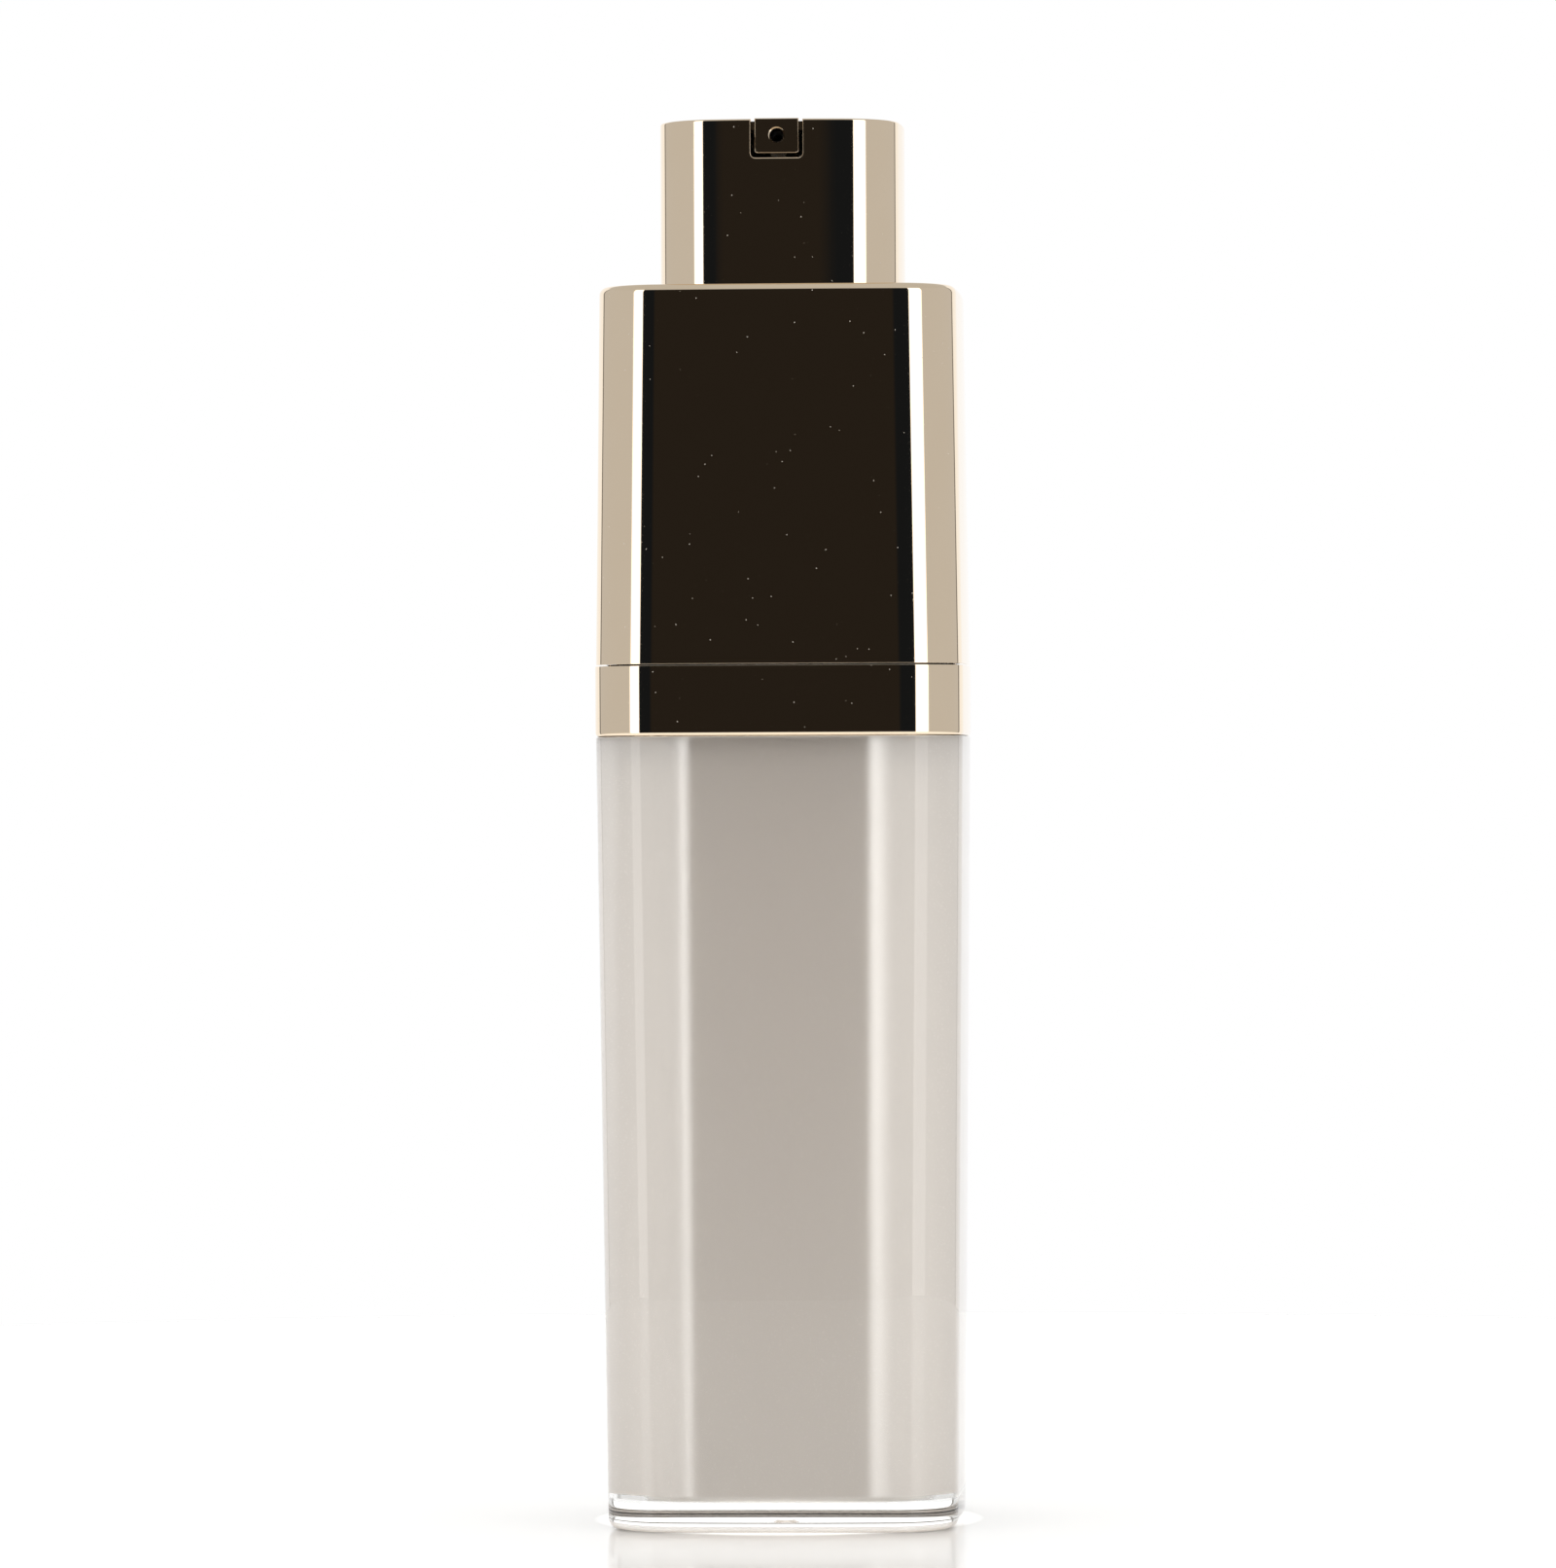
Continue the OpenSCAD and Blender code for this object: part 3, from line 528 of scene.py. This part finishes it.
def collar_ring():
    bm = bmesh.new()
    inner_corner = CORNER_R - RING_WALL
    levels = edge_levels(ring_low, ring_half, CORNER_R, RING_ROUND, -1)
    levels += [
        (ring_low + RING_ROUND + SUPPORT, ring_half, CORNER_R),
        (ring_high - SEAM_BREAK - SUPPORT, ring_half, CORNER_R),
    ]
    levels += edge_levels(ring_high, ring_half, CORNER_R, SEAM_BREAK, 1, SEAM_STEPS)
    outer = skin(bm, levels)
    inner = skin(bm, [
        (ring_low, ring_inner, inner_corner),
        (ring_high - RING_LIP, ring_inner, inner_corner),
    ])
    bridge(bm, outer[0], inner[0])
    lip_low = round_ring(bm, LIP_HALF, ring_high - RING_LIP)
    lip_high = round_ring(bm, LIP_HALF, ring_high)
    bridge(bm, inner[-1], lip_low)
    bridge(bm, lip_low, lip_high)
    bridge(bm, lip_high, outer[-1])
    return make_piece("collar_shell", bm, GOLD)


def shoulder_sleeve():
    bm = bmesh.new()
    mouth = button_half + MOUTH_GAP
    mouth_corner = BUTTON_CORNER_R + MOUTH_GAP
    guide = mouth + MOUTH_WALL
    guide_corner = mouth_corner + MOUTH_WALL
    guide_low = sleeve_high - SLEEVE_PLATE - MOUTH_GUIDE
    inner_corner = CORNER_R - SLEEVE_WALL
    levels = edge_levels(sleeve_low, sleeve_foot_half, CORNER_R, SEAM_BREAK, -1, SEAM_STEPS)
    levels += [
        (sleeve_low + SEAM_BREAK + SUPPORT, sleeve_foot_half, CORNER_R),
        (sleeve_high - SLEEVE_ROUND - SUPPORT, SLEEVE_TOP_HALF, CORNER_R),
    ]
    levels += edge_levels(sleeve_high, SLEEVE_TOP_HALF, CORNER_R, SLEEVE_ROUND, 1)
    levels += [
        (sleeve_high, mouth + EDGE_BREAK, mouth_corner),
        (sleeve_high - EDGE_BREAK, mouth, mouth_corner),
        (guide_low, mouth, mouth_corner),
        (guide_low, guide, guide_corner),
        (sleeve_high - SLEEVE_PLATE, guide, guide_corner),
        (sleeve_high - SLEEVE_PLATE, SLEEVE_TOP_HALF - SLEEVE_WALL, inner_corner),
        (sleeve_low, sleeve_foot_half - SLEEVE_WALL, inner_corner),
    ]
    skin(bm, levels, join_ends=True)
    return make_piece("sleeve_shell", bm, GOLD)


def notch_section(bm, y, grow):
    """The notch's outline at one depth, larger by grow all round and open above the button."""
    half = NOTCH_W / 2 + grow
    low = button_high - NOTCH_H - grow
    top = button_high + OVERSHOOT
    radius = NOTCH_ROUND + grow
    before = set(bm.edges)
    first = bm.verts.new((half, y, top))
    last = bm.verts.new((half, y, low + radius))
    bm.edges.new((first, last))
    foot = arc(bm, last, (half - radius, y, low + radius), (0, 1, 0), QUARTER, NOTCH_STEPS)
    last = bm.verts.new((radius - half, y, low))
    bm.edges.new((foot, last))
    side = arc(bm, last, (radius - half, y, low + radius), (0, 1, 0), QUARTER, NOTCH_STEPS)
    last = bm.verts.new((-half, y, top))
    bm.edges.new((side, last))
    bm.edges.new((last, first))
    return [e for e in bm.edges if e not in before]


def notch_shape():
    """Cutter for the notch: its section swept back to front, flared where it meets the front."""
    stations = [(-button_half + NOZZLE_L + AIR, 0)]
    for i in range(FLARE_STEPS + 1):
        turn = QUARTER * i / FLARE_STEPS
        depth = NOTCH_BREAK * (1 - math.sin(turn))
        stations.append((FACE_SAG - button_half + depth, NOTCH_BREAK * (1 - math.cos(turn))))
    stations.append((-button_half - OVERSHOOT, NOTCH_BREAK))
    bm = bmesh.new()
    loft(bm, [notch_section(bm, y, grow) for y, grow in stations])
    return bm


def actuator_shell():
    bm = bmesh.new()
    low_half = button_half - SKIRT_STEP
    low_corner = BUTTON_CORNER_R - SKIRT_STEP
    step_z = sleeve_high - STEP_DROP
    inner = button_half - BUTTON_WALL - SKIRT_STEP
    inner_corner = BUTTON_CORNER_R - BUTTON_WALL
    levels = [
        (skirt_low, low_half, low_corner),
        (step_z - SKIRT_STEP, low_half, low_corner),
        (step_z, button_half, BUTTON_CORNER_R),
        (step_z + SUPPORT, button_half, BUTTON_CORNER_R),
        (button_high - EDGE_BREAK - SUPPORT, button_half, BUTTON_CORNER_R),
    ]
    levels += edge_levels(button_high, button_half, BUTTON_CORNER_R, EDGE_BREAK, 1, BREAK_STEPS)
    outer = skin(bm, levels)
    bmesh.ops.edgeloop_fill(bm, edges=outer[-1])
    hollow = skin(bm, [
        (skirt_low, inner, inner_corner),
        (button_high - BUTTON_TOP, inner, inner_corner),
    ])
    bmesh.ops.edgeloop_fill(bm, edges=hollow[-1])
    bridge(bm, outer[0], hollow[0])
    piece = make_piece("button_shell", bm, GOLD)
    cut(piece, notch_shape())
    return piece


def bevel(bm, edges, offset, steps):
    bmesh.ops.bevel(
        bm, geom=edges, offset=offset, affect="EDGES", segments=steps, profile=0.5, material=-1)


def orifice_shape(back, front, z):
    """Cutter for the orifice: a round bore along Y with a sunk rim at the front."""
    bm = bmesh.new()
    loft(bm, [
        round_ring(bm, ORIFICE_R + grow, -y, ORIFICE_STEPS)
        for y, grow in (
            (back + AIR, 0), (front + ORIFICE_SINK, 0), (front, ORIFICE_SINK),
            (front - AIR, ORIFICE_SINK + AIR))])
    bmesh.ops.rotate(bm, verts=bm.verts, matrix=Matrix.Rotation(QUARTER, 3, "X"))
    bmesh.ops.translate(bm, verts=bm.verts, vec=(0, 0, z))
    return bm


def nozzle_insert():
    low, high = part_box("nozzle_insert")
    middle = (low + high) / 2
    bm = bmesh.new()
    bmesh.ops.create_cube(bm, size=1)
    bmesh.ops.scale(bm, verts=bm.verts, vec=high - low)
    bmesh.ops.translate(bm, verts=bm.verts, vec=middle)
    along = [
        e for e in bm.edges
        if all(v.co.z < middle.z for v in e.verts)
        and abs(e.verts[0].co.x - e.verts[1].co.x) < AIR]
    bevel(bm, along, NOZZLE_ROUND, NOZZLE_STEPS)
    front = [e for e in bm.edges if all(v.co.y < low.y + AIR for v in e.verts)]
    bevel(bm, front, NOZZLE_BREAK, NOZZLE_BREAK_STEPS)
    piece = make_piece("nozzle_block", bm, GOLD)
    axis_z = high.z - ORIFICE_DROP
    cut(piece, orifice_shape(high.y, low.y, axis_z))
    # The bore's faces take the painted shade of the hole
    piece.data.materials.append(BORE_PAINTED_SHADE)
    painted_shade_index = piece.data.materials.find(BORE_PAINTED_SHADE.name)
    for face in piece.data.polygons:
        off_axis = math.hypot(face.center.x, face.center.z - axis_z)
        if off_axis < ORIFICE_R + AIR / 2 and face.center.y > low.y + ORIFICE_SINK:
            face.material_index = painted_shade_index
    return piece


def return_spring():
    """The coil of the CAD part, as a piece that stands on the retainer."""
    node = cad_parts["return_spring"]
    mesh = node.data.copy()
    mesh.transform(node.matrix_world)
    mesh.materials.clear()
    mesh.materials.append(STEEL)
    return place("spring_coil", mesh)


PIECES = (
    (outer_bottle(), "outer_bottle", "bottle", "clear_acrylic"),
    (inner_liner(), "inner_liner", "bottle", "pearl_plastic"),
    (collar_ring(), "collar_ring", "bottle", "gold_metallised"),
    (shoulder_sleeve(), "shoulder_sleeve", "sleeve", "gold_metallised"),
    (actuator_shell(), "actuator_shell", "button", "gold_metallised"),
    (nozzle_insert(), "nozzle_insert", "button", "gold_metallised"),
    (return_spring(), "return_spring", "carriage", "spring_steel"),
)
for piece, node, body, slot in PIECES:
    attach(piece, body)
    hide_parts(node)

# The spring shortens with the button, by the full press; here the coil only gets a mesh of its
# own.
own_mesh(PIECES[-1][0])

INNER = {
    WHITE: (
        "cam_tube", "guide_tube", "inner_bottle", "base_plug", "lift_collar", "pump_housing",
        "ball_cage", "stem_retainer", "follower_piston", "actuator_core", "pump_stem"),
    SEAL: ("pump_gasket", "pump_piston"),
    STEEL: ("inlet_ball",),
}
for material, names in INNER.items():
    for name in names:
        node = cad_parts[name]
        node.data.materials.clear()
        node.data.materials.append(material)

# Studio: white table and background, dark room before the object, two strip lights at its sides

CAMERA_AZIMUTH = math.radians(2.95)
CAMERA_DISTANCE = 0.750
CAMERA_HEIGHT = 0.0675
CAMERA_ROLL = math.radians(-0.26)
AIM_OFFSET = -0.0007
# In the camera's own millimetres
LENS = 187.2
SENSOR = 36.0
CLIP_START = 0.01

TABLE_R = 0.29
TABLE_STEPS = 96
TABLE_COLOR = (0.85, 0.85, 0.85)
TABLE_ROUGHNESS = 0.1
# Strength of the painted light under the foot: the table glows there as an emission, no lamp
FOOT_PAINTED_LIGHT = 1.0
# Distances from the bottle's axis at which the painted light under the foot starts to fade and
# is gone
PAINTED_LIGHT_FADE = (13 * MM, 18 * MM)

WHITE_LIGHT = (1.0, 1.0, 1.0)
BROWN = (0.0185, 0.0152, 0.0122)
DARK = (0.008, 0.0095, 0.0117)
STRIP = (1.9, 1.88, 1.85)
CARD = (0.57, 0.565, 0.56)
GAP = (0.12, 0.11, 0.10)
# What stands round the table: degrees from the front towards +X, and the colour there
AROUND = (
    (-180, WHITE_LIGHT), (-135, WHITE_LIGHT), (-134, GAP), (-131, GAP), (-130, CARD),
    (-53.6, CARD), (-52.4, STRIP), (-36.4, STRIP), (-35.6, DARK), (-17, DARK), (-14, BROWN),
    (6, BROWN), (9, DARK), (33.8, DARK), (34.6, STRIP), (57.4, STRIP), (58.6, CARD),
    (136, CARD), (137, GAP), (140, GAP), (141, WHITE_LIGHT), (180, WHITE_LIGHT),
)
# The ceiling as a mirror shows it and as it lights matt surfaces, and the rise where it starts
OVERHEAD = (0.55, 0.545, 0.53)
TOP_LIGHT = (1.2, 1.18, 1.15)
OVERHEAD_SPAN = (0.46, 0.54)
# How much more light the room gives to matt and clear surfaces than its mirror image shows
FILL = 1.3


def room_colors(tree, bearing):
    """A colour ramp over the full turn, from and to the back of the room."""
    turn = compute(tree, "MULTIPLY_ADD", bearing, 0.5 / math.pi, 0.5)
    ramp = add(tree, "ShaderNodeValToRGB", Fac=turn)
    stops = ramp.color_ramp.elements
    for stop, (angle, color) in zip(stops, (AROUND[0], AROUND[-1])):
        stop.position = angle / 360 + 0.5
        stop.color = (*color, 1)
    for angle, color in AROUND[1:-1]:
        stops.new(angle / 360 + 0.5).color = (*color, 1)
    return ramp.outputs["Color"]


def studio_world():
    """The room as mirrors show it, a fuller light for other surfaces, and white in the view."""
    world = bpy.data.worlds.new("studio")
    world.use_nodes = True
    tree = world.node_tree
    tree.nodes.clear()
    coords = add(tree, "ShaderNodeTexCoord")
    split = add(tree, "ShaderNodeSeparateXYZ", Vector=coords.outputs["Generated"])
    front = compute(tree, "MULTIPLY", split.outputs["Y"], -1)
    bearing = compute(tree, "ARCTAN2", split.outputs["X"], front)
    path = add(tree, "ShaderNodeLightPath")
    mirrored = compute(
        tree, "SUBTRACT", path.outputs["Is Glossy Ray"], path.outputs["Is Transmission Ray"],
        use_clamp=True)
    high = add(
        tree, "ShaderNodeMapRange", interpolation_type="SMOOTHSTEP", Value=split.outputs["Z"])
    set_inputs(tree, high, {"From Min": OVERHEAD_SPAN[0], "From Max": OVERHEAD_SPAN[1]})
    roof = mixed(tree, mirrored, TOP_LIGHT, OVERHEAD)
    sky = mixed(tree, high.outputs["Result"], room_colors(tree, bearing), roof)
    level = compute(tree, "MULTIPLY_ADD", mirrored, 1 - FILL, FILL)
    pattern = add(tree, "ShaderNodeBackground", Color=sky, Strength=level)
    plain = add(tree, "ShaderNodeBackground", Color=WHITE_LIGHT, Strength=1.0)
    mix = add(tree, "ShaderNodeMixShader", Fac=path.outputs["Is Camera Ray"])
    feed(tree, mix.inputs[1], pattern.outputs[0])
    feed(tree, mix.inputs[2], plain.outputs[0])
    add(tree, "ShaderNodeOutputWorld", Surface=mix.outputs[0])
    bpy.context.scene.world = world


def table():
    """A white table top, with painted light under the foot: an emission stands in for the light
    that the clear foot passes down to it.
    """
    bm = bmesh.new()
    bmesh.ops.create_circle(bm, cap_ends=True, segments=TABLE_STEPS, radius=TABLE_R)
    bmesh.ops.translate(bm, verts=bm.verts, vec=(0, 0, -AIR))
    top = place("table", to_mesh(bm, "table"))
    material, tree, bsdf = node_material("white_table")
    set_inputs(tree, bsdf, {"Base Color": TABLE_COLOR, "Roughness": TABLE_ROUGHNESS})
    away = add(
        tree, "ShaderNodeVectorMath", operation="LENGTH", Vector=object_coordinates(tree))
    # Painted light: an emission under the foot, fading out away from the bottle's axis
    level = ranged(tree, away.outputs["Value"], (FOOT_PAINTED_LIGHT, 0), PAINTED_LIGHT_FADE)
    painted_light = add(tree, "ShaderNodeEmission", Color=WHITE_LIGHT, Strength=level)
    total = add(tree, "ShaderNodeAddShader")
    feed(tree, total.inputs[0], bsdf.outputs[0])
    feed(tree, total.inputs[1], painted_light.outputs[0])
    feed(tree, tree.nodes["Material Output"].inputs["Surface"], total.outputs[0])
    top.data.materials.append(material)


def camera():
    data = bpy.data.cameras.new("camera")
    data.sensor_fit = "VERTICAL"
    data.sensor_height = SENSOR
    data.lens = LENS
    data.clip_start = CLIP_START
    view = place("camera", data)
    away = Vector((math.sin(CAMERA_AZIMUTH), -math.cos(CAMERA_AZIMUTH), 0))
    right = Vector((math.cos(CAMERA_AZIMUTH), math.sin(CAMERA_AZIMUTH), 0))
    stand = right * AIM_OFFSET + Vector((0, 0, CAMERA_HEIGHT)) + away * CAMERA_DISTANCE
    level = Matrix.Rotation(CAMERA_AZIMUTH, 4, "Z") @ Matrix.Rotation(QUARTER, 4, "X")
    view.matrix_world = (
        Matrix.Translation(stand) @ level @ Matrix.Rotation(CAMERA_ROLL, 4, "Z"))
    bpy.context.scene.camera = view


studio_world()
table()
camera()
bpy.context.scene.view_settings.view_transform = "Standard"
